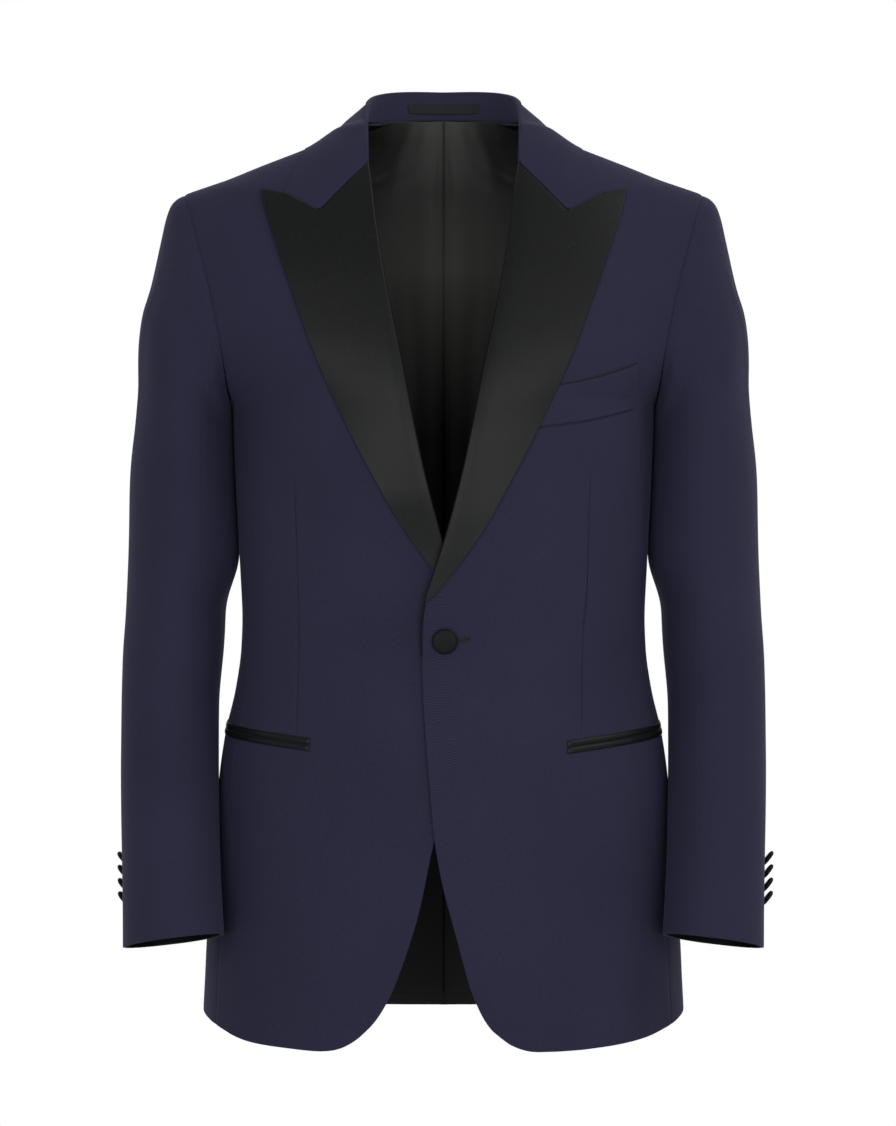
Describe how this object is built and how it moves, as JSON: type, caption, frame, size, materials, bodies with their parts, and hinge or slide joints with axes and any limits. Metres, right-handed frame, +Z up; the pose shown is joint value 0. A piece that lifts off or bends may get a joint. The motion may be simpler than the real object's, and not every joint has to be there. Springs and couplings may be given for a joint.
{
  "type": "dinner jacket",
  "caption": "Hollow single-breasted dinner jacket filled out as worn, peak satin lapels, one front button, jetted pockets and open cuffs.",
  "frame": {"origin": "middle of the neck hole, at the level of the shoulder seams by the neck, half way between chest and back", "axes": "+Z up, +X to the wearer's left, the front towards -Y"},
  "size_m": [0.5413, 0.2618, 0.7953],
  "materials": {
    "wool_cloth": "matt midnight blue wool and mohair, fine plain weave",
    "collar_cloth": "matt midnight blue wool and mohair, fine plain weave",
    "satin_facing": "black silk satin with a soft sheen",
    "covered_button": "black satin drawn over a button mould",
    "lining": "smooth black viscose lining",
    "hanger_loop": "plain black woven tab"
  },
  "bodies": {
    "root": {"front_left": "wool_cloth", "front_right": "wool_cloth", "side_left": "wool_cloth", "side_right": "wool_cloth", "back_left": "wool_cloth", "back_right": "wool_cloth", "top_sleeve_left": "wool_cloth", "top_sleeve_right": "wool_cloth", "under_sleeve_left": "wool_cloth", "under_sleeve_right": "wool_cloth", "collar": "collar_cloth", "lapel_left": "satin_facing", "lapel_right": "satin_facing", "lining_back_left": "lining", "lining_back_right": "lining", "sleeve_lining_left": "lining", "sleeve_lining_right": "lining", "hanger_loop": "hanger_loop", "jet_upper_right": "satin_facing", "jet_lower_right": "satin_facing", "jet_upper_left": "satin_facing", "jet_lower_left": "satin_facing", "breast_welt": "wool_cloth", "button_front": "covered_button", "cuff_button_left_1": "covered_button", "cuff_button_left_2": "covered_button", "cuff_button_left_3": "covered_button", "cuff_button_left_4": "covered_button", "cuff_button_right_1": "covered_button", "cuff_button_right_2": "covered_button", "cuff_button_right_3": "covered_button", "cuff_button_right_4": "covered_button"}
  },
  "joints": []
}
